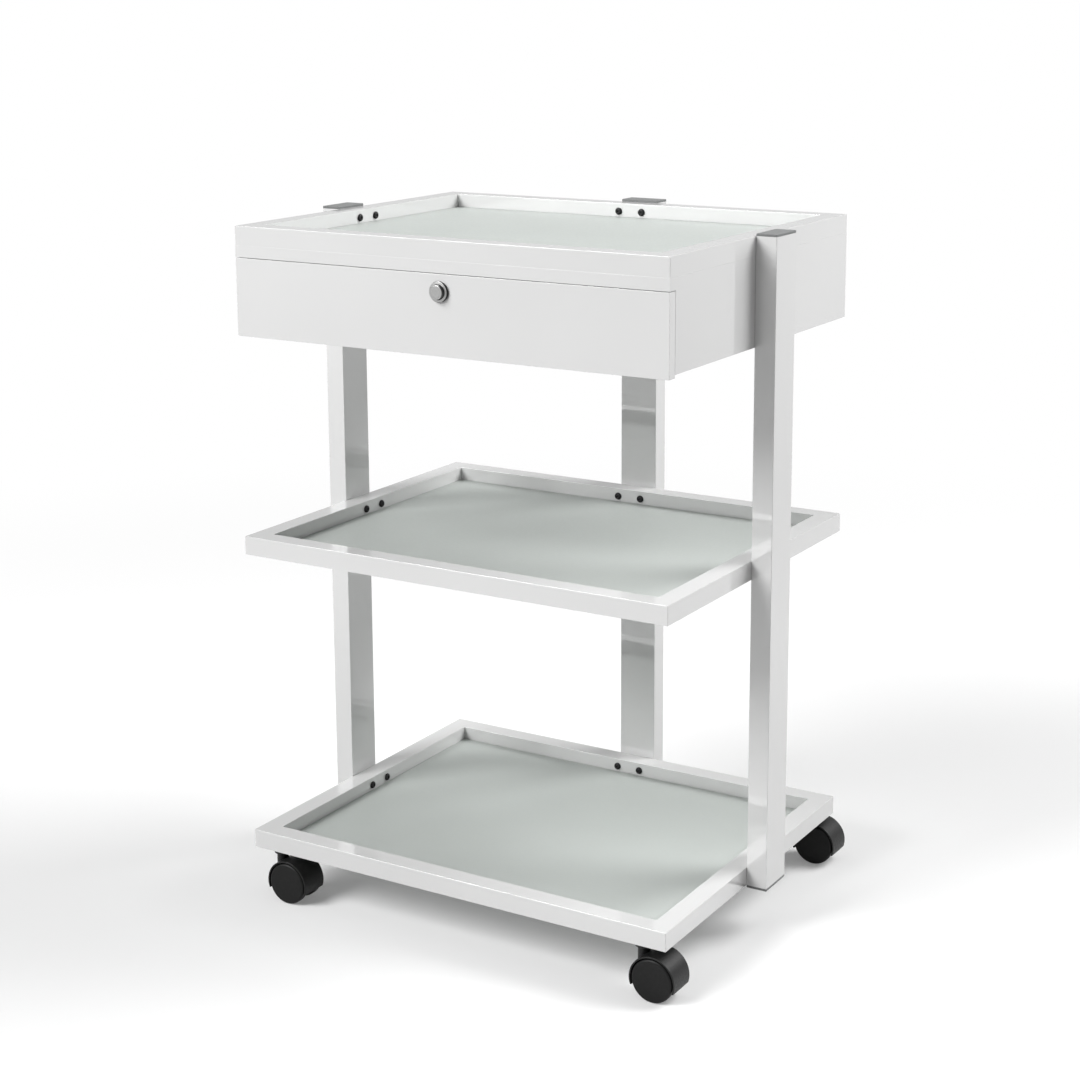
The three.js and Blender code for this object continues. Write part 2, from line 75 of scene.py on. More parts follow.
class Shader:
    """A node material round one Principled shader, with helpers for its textures."""

    def __init__(self, name, **constants):
        self.material = bpy.data.materials.new(name)
        self.material.use_nodes = True
        self.tree = self.material.node_tree
        self.surface = self.tree.nodes["Principled BSDF"]
        self.place = self.tree.nodes.new("ShaderNodeTexCoord").outputs["Object"]
        for socket, value in constants.items():
            self.surface.inputs[socket.replace("_", " ")].default_value = value

    def node(self, kind, **inputs):
        made = self.tree.nodes.new(kind)
        for socket, value in inputs.items():
            made.inputs[socket.replace("_", " ")].default_value = value
        return made

    def link(self, source, target):
        self.tree.links.new(source, target)

    def noise(self, scale, detail=2.0, stretch=(1, 1, 1)):
        """Noise with `scale` features to the metre, squeezed along each axis by `stretch`."""
        texture = self.node("ShaderNodeTexNoise", Scale=scale, Detail=detail)
        squeeze = self.node("ShaderNodeMapping", Scale=stretch)
        self.link(self.place, squeeze.inputs["Vector"])
        self.link(squeeze.outputs["Vector"], texture.inputs["Vector"])
        return texture.outputs["Fac"]

    def colour(self, factor, low, high):
        """Base colour that runs from one tone to another over the middle of a noise."""
        ramp = self.tree.nodes.new("ShaderNodeValToRGB")
        for element, position, tone in zip(ramp.color_ramp.elements, (0.35, 0.65), (low, high)):
            element.position = position
            element.color = (*tone, 1)
        self.link(factor, ramp.inputs["Fac"])
        self.link(ramp.outputs["Color"], self.surface.inputs["Base Color"])

    def roughness(self, factor, low, high):
        """Roughness that runs from one value to another over the middle of a noise."""
        spread = self.node("ShaderNodeMapRange", From_Min=0.3, From_Max=0.7, To_Min=low, To_Max=high)
        self.link(factor, spread.inputs["Value"])
        self.link(spread.outputs["Result"], self.surface.inputs["Roughness"])

    def bump(self, height, strength, distance):
        bump = self.node("ShaderNodeBump", Strength=strength, Distance=distance)
        self.link(height, bump.inputs["Height"])
        self.link(bump.outputs["Normal"], self.surface.inputs["Normal"])


def white_enamel():
    """Powder coat baked to a high gloss, with the faint ripple that such a coat has."""
    paint = Shader("white_enamel", Coat_Weight=1.0, Coat_Roughness=0.03, Coat_IOR=2.0)
    paint.colour(paint.noise(4), (0.705, 0.705, 0.703), (0.725, 0.725, 0.723))
    paint.roughness(paint.noise(60), 0.18, 0.26)
    paint.bump(paint.noise(260), 0.05, 0.0003)
    return paint.material


def white_lacquer():
    """The drawer front's sprayed lacquer, a little finer than the powder coat."""
    paint = Shader("white_lacquer", Coat_Weight=1.0, Coat_Roughness=0.03, Coat_IOR=2.0)
    paint.colour(paint.noise(5), (0.71, 0.71, 0.708), (0.73, 0.73, 0.728))
    paint.roughness(paint.noise(80), 0.14, 0.22)
    paint.bump(paint.noise(180), 0.03, 0.0003)
    return paint.material


def frosted_glass():
    """Sand-blasted float glass with its pale green body."""
    glass = Shader("frosted_glass", Transmission_Weight=0.2, Specular_IOR_Level=0.2)
    glass.colour(glass.noise(6, 3), (0.55, 0.582, 0.56), (0.57, 0.602, 0.58))
    glass.roughness(glass.noise(300, 3), 0.42, 0.52)
    glass.bump(glass.noise(2600, 3), 0.12, 0.0002)
    return glass.material


def grey_plastic():
    """Moulded caps with a fine spark-eroded grain."""
    plastic = Shader("grey_plastic", IOR=1.46)
    plastic.colour(plastic.noise(900, 3), (0.150, 0.155, 0.155), (0.195, 0.20, 0.20))
    plastic.roughness(plastic.noise(500), 0.42, 0.55)
    plastic.bump(plastic.noise(1500, 3), 0.22, 0.0002)
    return plastic.material


def black_steel():
    """Oiled black oxide on the bolts."""
    steel = Shader("black_steel", Metallic=0.6)
    steel.colour(steel.noise(700, 3), (0.012, 0.012, 0.013), (0.030, 0.030, 0.031))
    steel.roughness(steel.noise(900, 3), 0.28, 0.48)
    steel.bump(steel.noise(1800, 2), 0.15, 0.0001)
    return steel.material


def zinc_steel():
    """Bright zinc plate with the drawn lines of the strip."""
    zinc = Shader("zinc_steel", Metallic=1.0)
    zinc.colour(zinc.noise(160, 3), (0.42, 0.43, 0.44), (0.56, 0.57, 0.58))
    lines = zinc.noise(300, 2, (6, 0.3, 6))
    zinc.roughness(lines, 0.26, 0.44)
    zinc.bump(lines, 0.12, 0.0001)
    return zinc.material


def satin_metal():
    """Turned knob: bright brushed metal with fine rings round its axis, and painted dark reflection in
    near-black bands on the grip's side and the base's rim.
    """
    bright, dark = (0.42, 0.42, 0.417, 1), (0.035, 0.035, 0.035, 1)
    wobble = 0.0004
    metal = Shader("satin_metal", Metallic=1.0)
    split = metal.tree.nodes.new("ShaderNodeSeparateXYZ")
    metal.link(metal.place, split.inputs["Vector"])
    flat = metal.tree.nodes.new("ShaderNodeCombineXYZ")
    metal.link(split.outputs["X"], flat.inputs["X"])
    metal.link(split.outputs["Y"], flat.inputs["Y"])
    radius = metal.tree.nodes.new("ShaderNodeVectorMath")
    radius.operation = "LENGTH"
    metal.link(flat.outputs["Vector"], radius.inputs["Vector"])
    rings = metal.node("ShaderNodeTexNoise", Scale=2600, Detail=2)
    rings.noise_dimensions = "1D"
    metal.link(radius.outputs["Value"], rings.inputs["W"])
    grain = metal.node("ShaderNodeMapRange", From_Min=0.3, From_Max=0.7, To_Min=-wobble, To_Max=wobble)
    metal.link(rings.outputs["Fac"], grain.inputs["Value"])
    uneven = metal.tree.nodes.new("ShaderNodeMath")
    metal.link(radius.outputs["Value"], uneven.inputs[0])
    metal.link(grain.outputs["Result"], uneven.inputs[1])
    # Painted reflection: the ramp gives the grip's side and the base's rim a near-black base colour,
    # standing in for a dark room mirrored in the metal.
    painted_reflection_bands = metal.tree.nodes.new("ShaderNodeValToRGB")
    reach = metal.node("ShaderNodeMapRange", From_Max=KNOB_BASE_RADIUS)
    metal.link(uneven.outputs["Value"], reach.inputs["Value"])
    metal.link(reach.outputs["Result"], painted_reflection_bands.inputs["Fac"])
    elements = painted_reflection_bands.color_ramp.elements
    elements[0].color = bright
    elements[1].color = dark
    side_inner = (KNOB_RADIUS - 0.25 * MM) / KNOB_BASE_RADIUS
    side_outer = (KNOB_RADIUS + 0.5 * MM) / KNOB_BASE_RADIUS
    rim_inner, rim_outer = 0.965, 0.985
    for place, tone in (
        (side_inner, bright), (side_inner + 0.02, dark),
        (side_outer, dark), (side_outer + 0.03, bright),
        (rim_inner, bright), (rim_outer, dark),
    ):
        elements.new(place).color = tone
    metal.link(painted_reflection_bands.outputs["Color"], metal.surface.inputs["Base Color"])
    metal.roughness(rings.outputs["Fac"], 0.24, 0.36)
    metal.bump(rings.outputs["Fac"], 0.10, 0.0001)
    return metal.material


def black_plastic():
    """Moulded nylon of the caster hoods."""
    nylon = Shader("black_plastic", Specular_IOR_Level=0.3)
    nylon.colour(nylon.noise(500, 3), (0.004, 0.004, 0.004), (0.008, 0.008, 0.008))
    nylon.roughness(nylon.noise(420, 3), 0.34, 0.50)
    nylon.bump(nylon.noise(1300, 3), 0.18, 0.0002)
    return nylon.material


def wheel_plastic():
    """Harder nylon of the wheels, with light running marks round the tread."""
    nylon = Shader("wheel_plastic", Specular_IOR_Level=0.22)
    nylon.colour(nylon.noise(260, 3, (1, 1, 0.3)), (0.0035, 0.0035, 0.0035), (0.0055, 0.0055, 0.0055))
    nylon.roughness(nylon.noise(300, 3), 0.40, 0.52)
    nylon.bump(nylon.noise(1100, 3), 0.06, 0.0002)
    return nylon.material


FINISH = {
    "white_paint": white_enamel(),
    "white_lacquer": white_lacquer(),
    "frosted_glass": frosted_glass(),
    "grey_plastic": grey_plastic(),
    "black_steel": black_steel(),
    "zinc_steel": zinc_steel(),
    "satin_metal": satin_metal(),
    "black_plastic": black_plastic(),
    "grey_wheel": wheel_plastic(),
}

# ---------------------------------------------------------------- mesh helpers

WELD_DISTANCE = 1e-6


def rounded_plan(half_x, half_y, radius, steps):
    """Corner points of a rounded rectangle, anticlockwise."""
    points = []
    for quarter, (sx, sy) in enumerate(((1, 1), (-1, 1), (-1, -1), (1, -1))):
        for step in range(steps + 1):
            angle = (quarter + step / steps) * math.pi / 2
            points.append((
                sx * (half_x - radius) + radius * math.cos(angle),
                sy * (half_y - radius) + radius * math.sin(angle),
            ))
    return points


def circle(radius, count):
    """Points of a circle, anticlockwise."""
    return [
        (radius * math.cos(2 * math.pi * k / count), radius * math.sin(2 * math.pi * k / count))
        for k in range(count)
    ]


def hexagon(flats, count):
    """A hexagon across its flats, with as many points as the circle it meets."""
    points = []
    for k in range(count):
        angle = 2 * math.pi * k / count
        turn = (angle + math.pi / 6) % (math.pi / 3) - math.pi / 6
        radius = flats / 2 / math.cos(turn)
        points.append((radius * math.cos(angle), radius * math.sin(angle)))
    return points


def quarter_arc(inset0, z0, inset1, z1, steps, outward_first):
    """Points of a quarter ellipse between two (inset, height) places."""
    points = []
    for step in range(steps + 1):
        angle = step / steps * math.pi / 2
        a, b = (1 - math.cos(angle), math.sin(angle)) if outward_first else (
            math.sin(angle), 1 - math.cos(angle))
        points.append((inset0 + (inset1 - inset0) * a, z0 + (z1 - z0) * b))
    return points


def loft(rings, loop=False):
    """Vertices and quads through equal rings of points; the ends are filled unless it closes."""
    count = len(rings[0])
    verts = [point for ring in rings for point in ring]
    faces = []
    spans = len(rings) if loop else len(rings) - 1
    for r in range(spans):
        low, high = r * count, (r + 1) % len(rings) * count
        for k in range(count):
            n = (k + 1) % count
            faces.append((low + k, low + n, high + n, high + k))
    if not loop:
        faces.append(tuple(reversed(range(count))))
        faces.append(tuple(range((len(rings) - 1) * count, len(rings) * count)))
    return verts, faces


def stack(half_x, half_y, corner, profile, steps=6, loop=False):
    """Rounded rectangles at each (inset, height) of a profile."""
    rings = []
    for inset, z in profile:
        plan = rounded_plan(half_x - inset, half_y - inset, max(corner - inset, 0), steps)
        rings.append([(x, y, z) for x, y in plan])
    return loft(rings, loop)


def turned(profile, count):
    """A (radius, height) profile turned round Z in `count` steps."""
    return loft([[(x, y, z) for x, y in circle(radius, count)] for radius, z in profile])


def shade(bm, sharp):
    """Smooth faces, with edges sharper than `sharp` degrees kept crisp."""
    for face in bm.faces:
        face.smooth = True
    for edge in bm.edges:
        edge.smooth = edge.calc_face_angle(0) < math.radians(sharp)


def mesh_of(name, shell, sharp=40):
    """A clean shaded mesh from the vertices and faces of a shell."""
    mesh = bpy.data.meshes.new(name)
    mesh.from_pydata(shell[0], [], shell[1])
    bm = bmesh.new()
    bm.from_mesh(mesh)
    bmesh.ops.remove_doubles(bm, verts=bm.verts, dist=WELD_DISTANCE)
    bmesh.ops.dissolve_degenerate(bm, edges=bm.edges, dist=WELD_DISTANCE / 10)
    bmesh.ops.recalc_face_normals(bm, faces=bm.faces)
    shade(bm, sharp)
    bm.to_mesh(mesh)
    bm.free()
    return mesh


def even_normals(piece):
    """Keeps flat faces flat where they meet rounded edges."""
    modifier = piece.modifiers.new("even_normals", "WEIGHTED_NORMAL")
    modifier.keep_sharp = True
    modifier.weight = 60


def add(name, mesh, body, slot, place, stands_for):
    """Puts a piece in the scene, on its body, in place of its CAD nodes."""
    piece = bpy.data.objects.new(name, mesh)
    bpy.context.scene.collection.objects.link(piece)
    if not mesh.materials:
        mesh.materials.append(FINISH[slot])
    piece.matrix_world = place
    even_normals(piece)
    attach(piece, body)
    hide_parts(*stands_for)


def body_of(node):
    """The name of the moving body that a CAD node belongs to."""
    return nodes[node]["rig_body"]


def middle_of(node):
    """The centre of a CAD node's box."""
    low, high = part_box(node)
    return (low + high) / 2


# ---------------------------------------------------------------- shelf frames and glass

RAIL = 24 * MM
LEDGE = 6 * MM
LEDGE_THICKNESS = 1.5 * MM
LEDGE_EDGE = 0.5 * MM
TUBE_CORNER = 0.5 * MM
TUBE_FOOT_CORNER = 0.15 * MM
FRAME_CORNER = 0.6 * MM
PANE_THICKNESS = 4 * MM
PANE_EDGE = 0.6 * MM
PANE_CORNER = 2.5 * MM


def frame_mesh():
    """Box tube with rolled corners, mitred into a rectangle, and the ledge inside it."""
    low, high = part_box("middle_frame")
    height = high.z - low.z
    r, foot, lip = TUBE_CORNER, TUBE_FOOT_CORNER, LEDGE_EDGE
    reach = RAIL + LEDGE
    section = [
        *quarter_arc(0, height - r, r, height, 4, True),
        *quarter_arc(RAIL - r, height, RAIL, height - r, 4, False),
        (RAIL, LEDGE_THICKNESS),
        *quarter_arc(reach - lip, LEDGE_THICKNESS, reach, LEDGE_THICKNESS - lip, 2, False),
        *quarter_arc(reach, lip, reach - lip, 0, 2, True),
        *quarter_arc(foot, 0, 0, foot, 4, False),
    ]
    half_x, half_y = (high.x - low.x) / 2, (high.y - low.y) / 2
    return mesh_of("frame", stack(half_x, half_y, FRAME_CORNER, section, 4, True))


def pane_mesh():
    """A glass pane with ground edges and rounded corners."""
    low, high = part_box("middle_glass")
    edge = PANE_EDGE
    profile = [
        *quarter_arc(edge, 0, 0, edge, 3, False),
        *quarter_arc(0, PANE_THICKNESS - edge, edge, PANE_THICKNESS, 3, True),
    ]
    half_x, half_y = (high.x - low.x) / 2, (high.y - low.y) / 2
    return mesh_of("pane", stack(half_x, half_y, PANE_CORNER, profile))


def make_shelves():
    """Three rims and the glass that lies in them."""
    rails, pane = frame_mesh(), pane_mesh()
    for level in LEVELS:
        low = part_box(f"{level}_frame")[0]
        add(f"{level}_rails", rails, "trolley", "white_paint",
            Matrix.Translation((0, 0, low.z)), [f"{level}_frame"])
        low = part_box(f"{level}_glass")[0]
        add(f"{level}_pane", pane, "trolley", "frosted_glass",
            Matrix.Translation((0, 0, low.z)), [f"{level}_glass"])


# ---------------------------------------------------------------- posts, caps and bolts

POST_HALF_WIDTH = 25 * MM
POST_HALF_DEPTH = 12.5 * MM
POST_WALL = 1.5 * MM
POST_CORNER = 0.8 * MM
CAP_THICKNESS = 3 * MM
CAP_PLUG = 7 * MM
CAP_EDGE = 0.8 * MM
HEAD_RADIUS = 4.6 * MM
HEAD_HEIGHT = 2.75 * MM
BOLT_RADIUS = 2.5 * MM
HEX_KEY = 3 * MM
HEX_DEPTH = 1.5 * MM
HEAD_FLAT = 0.56
SOCKET_MOUTH = 1.22


def post_mesh(length):
    """Rectangular tube with its cut ends dressed."""
    lip = 0.3 * MM
    profile = [
        (lip, 0), (0, lip), (0, length - lip), (lip, length),
        (POST_WALL - lip, length), (POST_WALL, length - lip), (POST_WALL, lip), (POST_WALL - lip, 0),
    ]
    return mesh_of("post", stack(POST_HALF_WIDTH, POST_HALF_DEPTH, POST_CORNER, profile, 6, True))


def cap_mesh():
    """Flat cap with a soft edge and the plug that holds it in the tube."""
    edge = CAP_EDGE
    side = POST_WALL + 0.3 * MM
    profile = [
        (side + 0.4 * MM, -CAP_PLUG), (side, -CAP_PLUG + 0.4 * MM), (side, 0),
        (0.25 * MM, 0), (0, 0.25 * MM),
        *quarter_arc(0, CAP_THICKNESS - edge, edge, CAP_THICKNESS - 0.12 * MM, 4, True),
        (edge + 1.2 * MM, CAP_THICKNESS),
    ]
    return mesh_of("cap", stack(POST_HALF_WIDTH, POST_HALF_DEPTH, POST_CORNER, profile))


def bolt_mesh(grip):
    """Button head with a hexagon socket, and its shank."""
    count, lip, tip = 48, 0.15 * MM, 0.6 * MM
    dome_inset = HEAD_RADIUS - HEAD_RADIUS * HEAD_FLAT
    dome = quarter_arc(0, 0.5 * MM, dome_inset, HEAD_HEIGHT, 7, True)
    profile = [
        (BOLT_RADIUS * 0.8, -grip), (BOLT_RADIUS, -grip + tip), (BOLT_RADIUS, 0),
        (HEAD_RADIUS - lip, 0), (HEAD_RADIUS, lip),
        *[(HEAD_RADIUS - inset, z) for inset, z in dome],
        (HEX_KEY / 2 * SOCKET_MOUTH, HEAD_HEIGHT),
    ]
    rings = [[(x, y, z) for x, y in circle(radius, count)] for radius, z in profile]
    for z in (HEAD_HEIGHT - lip, HEAD_HEIGHT - HEX_DEPTH):
        rings.append([(x, y, z) for x, y in hexagon(HEX_KEY, count)])
    return mesh_of("bolt", loft(rings), 30)


def make_posts():
    """Three uprights, each with two caps and two bolts to every frame."""
    low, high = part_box("rear_post")
    post, cap = post_mesh(high.z - low.z), cap_mesh()
    low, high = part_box("top_rear_bolt_1")
    bolt = bolt_mesh(high.y - low.y - HEAD_HEIGHT)
    inward = {"left": Vector((1, 0, 0)), "right": Vector((-1, 0, 0)), "rear": Vector((0, -1, 0))}
    for side in SIDES:
        turn = inward[side].to_track_quat("Y", "Z").to_matrix().to_4x4()
        low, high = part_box(f"{side}_post")
        centre = (low + high) / 2
        foot, head = (centre.x, centre.y, low.z), (centre.x, centre.y, high.z)
        add(f"{side}_upright", post, "trolley", "white_paint",
            Matrix.Translation(foot) @ turn, [f"{side}_post"])
        add(f"{side}_upper_cap", cap, "trolley", "grey_plastic",
            Matrix.Translation(head) @ turn, [f"{side}_post_top_cap"])
        add(f"{side}_lower_cap", cap, "trolley", "grey_plastic",
            Matrix.Translation(foot) @ turn @ Matrix.Rotation(math.pi, 4, "X"),
            [f"{side}_post_bottom_cap"])
        aim = inward[side].to_track_quat("Z", "X").to_matrix().to_4x4()
        for level in LEVELS:
            for number in (1, 2):
                node = f"{level}_{side}_bolt_{number}"
                low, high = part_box(node)
                centre = (low + high) / 2
                reach = (high - low).dot(Vector(map(abs, inward[side]))) / 2 - HEAD_HEIGHT
                add(f"{node}_screw", bolt, "trolley", "black_steel",
                    Matrix.Translation(centre + inward[side] * reach) @ aim, [node])


# ---------------------------------------------------------------- drawer

FRONT_SPREAD = 0.8 * MM
FRONT_REACH = 0.25 * MM
FRONT_CORNER = 1 * MM
KNOB_STEP = 3.5 * MM
KNOB_HEIGHT = 8 * MM
KNOB_EDGE = 0.7 * MM


def front_mesh(half_x, half_z, depth):
    """The panel, a little wider and deeper than its CAD solid: that keeps its joint with the
    housing faint."""
    edge, back_edge = 0.3 * MM, 0.1 * MM
    profile = [
        *quarter_arc(back_edge, 0, 0, back_edge, 3, False),
        *quarter_arc(0, depth - edge, edge, depth, 4, True),
    ]
    return mesh_of("front", stack(half_x, half_z, FRONT_CORNER, profile))


def knob_mesh():
    """A round base and a narrower grip in front of it, joined by a small fillet."""
    edge = KNOB_EDGE
    step_edge = quarter_arc(0, KNOB_STEP - edge, edge, KNOB_STEP, 5, True)
    face_edge = quarter_arc(0, KNOB_HEIGHT - edge, edge, KNOB_HEIGHT, 5, True)
    profile = [
        (KNOB_BASE_RADIUS - 0.3 * MM, 0),
        (KNOB_BASE_RADIUS, 0.3 * MM),
        *[(KNOB_BASE_RADIUS - inset, z) for inset, z in step_edge],
        (KNOB_RADIUS + 0.9 * MM, KNOB_STEP + 0.05 * MM),
        (KNOB_RADIUS + 0.25 * MM, KNOB_STEP + 0.3 * MM),
        (KNOB_RADIUS, KNOB_STEP + 0.9 * MM),
        *[(KNOB_RADIUS - inset, z) for inset, z in face_edge],
        (KNOB_RADIUS * 0.55, KNOB_HEIGHT),
    ]
    return mesh_of("knob", turned(profile, 96), 30)


def soften(node, width, slot):
    """A sheet-metal CAD node with rounded folds and its finish."""
    node.material_slots[0].link = "OBJECT"
    node.material_slots[0].material = FINISH[slot]
    node.modifiers.new("weld", "WELD").merge_threshold = WELD_DISTANCE
    flatten = node.modifiers.new("flatten", "DECIMATE")
    flatten.decimate_type = "DISSOLVE"
    flatten.angle_limit = math.radians(1)
    bevel = node.modifiers.new("folds", "BEVEL")
    bevel.width = width
    bevel.segments = 3
    bevel.limit_method = "ANGLE"
    bevel.angle_limit = math.radians(40)
    bevel.harden_normals = True


def make_drawer():
    """The folded sheets with their finish, the lacquered front and the knob."""
    soften(nodes["drawer_housing"], 0.15 * MM, "white_paint")
    soften(nodes["drawer_box"], 0.4 * MM, "white_paint")
    soften(nodes["left_drawer_runner"], 0.3 * MM, "zinc_steel")
    soften(nodes["right_drawer_runner"], 0.3 * MM, "zinc_steel")
    soften(nodes["knob_screw"], 0.1 * MM, "zinc_steel")
    low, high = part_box("drawer_front")
    high.y += FRONT_REACH
    centre = (low + high) / 2
    upright = Matrix.Rotation(math.pi / 2, 4, "X")
    front = front_mesh((high.x - low.x) / 2 + FRONT_SPREAD, (high.z - low.z) / 2, high.y - low.y)
    add("drawer_panel", front, "drawer", "white_lacquer",
        Matrix.Translation((centre.x, high.y, centre.z)) @ upright, ["drawer_front"])
    low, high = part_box("drawer_knob")
    centre = (low + high) / 2
    add("drawer_pull", knob_mesh(), "drawer", "satin_metal",
        Matrix.Translation((centre.x, high.y, centre.z)) @ upright, ["drawer_knob"])


# ---------------------------------------------------------------- casters

TRAIL = 18.5 * MM
WHEEL_RADIUS = 25 * MM
WHEEL_WIDTH = 11 * MM
WHEEL_EDGE = 2.8 * MM
FACE_DISH = 0.10 * MM
HOOD_RADIUS = 28 * MM
HOOD_WALL = 1.8 * MM
HOOD_HALF_WIDTH = 18 * MM
HOOD_SKIRT = 9 * MM
HOOD_RIM = 0.5 * MM
HOOD_STEPS = 72
WEB_HALF_WIDTH = 5 * MM
HUB_RADIUS = 8 * MM
BOSS_RADIUS = 7 * MM
BOSS_FOOT = 2 * MM
BOSS_TOP = 30 * MM
PIN_RADIUS = 4 * MM
NECK_RADIUS = 5.2 * MM
NECK_HEIGHT = 0.7 * MM
THREAD_RADIUS = 5 * MM
COLLAR_RADIUS = 10 * MM
COLLAR_HEIGHT = 4 * MM
THREAD = 14 * MM


def wheel_mesh():
    """Inner face at z = 0; the outer face is almost flat inside its rounded rim."""
    outer = WHEEL_WIDTH
    edge = WHEEL_EDGE
    inner_edge = quarter_arc(edge, 0, 0, edge, 5, False)
    outer_edge = quarter_arc(0, outer - edge, edge, outer, 8, True)
    profile = [
        (4 * MM, 0.0),
        (WHEEL_RADIUS - edge, 0.0),
        *[(WHEEL_RADIUS - inset, z) for inset, z in inner_edge],
        *[(WHEEL_RADIUS - inset, z) for inset, z in outer_edge],
        (WHEEL_RADIUS - 3.8 * MM, outer - 0.03 * MM),
        (WHEEL_RADIUS - 4.2 * MM, outer - FACE_DISH),
        (2 * MM, outer - FACE_DISH),
    ]
    return mesh_of("wheel", turned(profile, 96), 35)


def stem_mesh(height):
    """Pin, neck, round collar under the rail and the thread above it, from z = 0 up."""
    flange = height - THREAD
    collar = flange - COLLAR_HEIGHT
    profile = [
        (PIN_RADIUS, 0),
        (PIN_RADIUS, collar - NECK_HEIGHT),
        (NECK_RADIUS, collar - NECK_HEIGHT),
        (NECK_RADIUS, collar),
        (COLLAR_RADIUS - 0.4 * MM, collar),
        (COLLAR_RADIUS, collar + 0.4 * MM),
        (COLLAR_RADIUS, flange - 0.3 * MM),
        (COLLAR_RADIUS - 0.3 * MM, flange),
        (THREAD_RADIUS, flange),
        (THREAD_RADIUS, height - 0.6 * MM),
        (THREAD_RADIUS - 0.6 * MM, height),
    ]
    return mesh_of("stem", turned(profile, 60), 30)


def hood_arc(radius, y):
    """Points over the wheels from skirt to skirt, at one radius."""
    dip = math.asin(HOOD_SKIRT / radius)
    span = math.pi + 2 * dip
    angles = [-dip + span * k / HOOD_STEPS for k in range(HOOD_STEPS + 1)]
    return [(radius * math.cos(angle), y, radius * math.sin(angle)) for angle in angles]


def hood_band():
    """The curved cover over both wheels, with rounded rims."""
    r = HOOD_RIM
    inner = HOOD_RADIUS - HOOD_WALL
    section = []
    for centre_r, centre_y, start in (
        (HOOD_RADIUS - r, HOOD_HALF_WIDTH - r, 0),
        (inner + r, HOOD_HALF_WIDTH - r, 1),
        (inner + r, -HOOD_HALF_WIDTH + r, 2),
        (HOOD_RADIUS - r, -HOOD_HALF_WIDTH + r, 3),
    ):
        for k in range(5):
            angle = (start + k / 4) * math.pi / 2
            section.append((centre_r + r * math.cos(angle), centre_y + r * math.sin(angle)))
    columns = [hood_arc(radius, y) for radius, y in section]
    return loft([list(ring) for ring in zip(*columns)])


def hood_web():
    """The plate between the wheels, closed by a level lower edge."""
    radius = HOOD_RADIUS - HOOD_WALL / 2
    return loft([hood_arc(radius, y) for y in (-WEB_HALF_WIDTH, WEB_HALF_WIDTH)])


def along_y(shell):
    """A shell made round Z, laid along Y."""
    return [(x, z, -y) for x, y, z in shell[0]], shell[1]


def moved(shell, x):
    """A shell shifted along X."""
    return [(px + x, py, pz) for px, py, pz in shell[0]], shell[1]


def union(name, shells):
    """One closed mesh from several closed shells that cross."""
    objects = []
    for index, shell in enumerate(shells):
        part = bpy.data.objects.new(f"{name}_{index}", mesh_of(f"{name}_{index}", shell))
        bpy.context.scene.collection.objects.link(part)
        objects.append(part)
    for other in objects[1:]:
        merge = objects[0].modifiers.new("merge", "BOOLEAN")
        merge.operation = "UNION"
        merge.solver = "EXACT"
        merge.object = other
    graph = bpy.context.evaluated_depsgraph_get()
    mesh = bpy.data.meshes.new_from_object(objects[0].evaluated_get(graph))
    mesh.name = name
    for part in objects:
        bpy.data.objects.remove(part)
    return mesh


def hood_mesh():
    """Cover, web, axle hub and the boss that turns on the stem's pin, as one moulding."""
    hub = [(HUB_RADIUS, -WEB_HALF_WIDTH), (HUB_RADIUS, WEB_HALF_WIDTH)]
    boss = [
        (BOSS_RADIUS, BOSS_FOOT),
        (BOSS_RADIUS, BOSS_TOP - 0.4 * MM),
        (BOSS_RADIUS - 0.4 * MM, BOSS_TOP),
    ]
    boss_shell = moved(turned(boss, 48), -TRAIL)
    mesh = union("hood", [hood_band(), hood_web(), along_y(turned(hub, 48)), boss_shell])
    bm = bmesh.new()
    bm.from_mesh(mesh)
    bmesh.ops.remove_doubles(bm, verts=bm.verts, dist=WELD_DISTANCE)
    shade(bm, 35)
    bm.to_mesh(mesh)
    bm.free()
    return mesh


def make_casters():
    """Four casters: stem, hood, axle and a wheel on each side of the web."""
    low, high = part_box("front_left_caster_stem")
    stem, hood, wheel = stem_mesh(high.z - low.z), hood_mesh(), wheel_mesh()
    for corner in CASTERS:
        name = f"{corner}_caster"
        low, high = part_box(f"{name}_stem")
        add(f"{name}_pin", stem, "trolley", "black_steel",
            Matrix.Translation(((low.x + high.x) / 2, (low.y + high.y) / 2, low.z)), [f"{name}_stem"])
        axle = middle_of(f"{name}_axle")
        add(f"{name}_cover", hood, body_of(f"{name}_hood"), "black_plastic",
            Matrix.Translation(axle), [f"{name}_hood"])
        soften(nodes[f"{name}_axle"], 0.3 * MM, "zinc_steel")
        for end, turn in (("near", math.pi / 2), ("far", -math.pi / 2)):
            node = f"{name}_{end}_wheel"
            low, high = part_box(node)
            inner = high.y if end == "near" else low.y
            add(f"{name}_{end}_roller", wheel, body_of(node), "grey_wheel",
                Matrix.Translation((axle.x, inner, axle.z)) @ Matrix.Rotation(turn, 4, "X"), [node])


# ---------------------------------------------------------------- room

# Metres: the floor's edge, and where it starts and ends its fade into plain white.
FLOOR_RADIUS = 14
FLOOR_NEAR, FLOOR_FAR = 0.7, 2.4
# Strengths: the light added to the near floor, and the far floor's in other rays and to the camera.
FLOOR_LIFT = 0.18
GLOW_UNSEEN, GLOW_SEEN = 0.84, 1.0
# Degrees, metres, millimetres of lens and sensor, and shares of the picture's width.
VIEW_AZIMUTH, VIEW_ELEVATION, VIEW_ROLL = 30.80, 11.30, -0.20
VIEW_PLACE = (1.2605, -2.0861, 1.0856)
VIEW_LENS, VIEW_SENSOR = 70.18, 36
VIEW_SHIFT_X, VIEW_SHIFT_Y = -1 / 54, -7 / 54


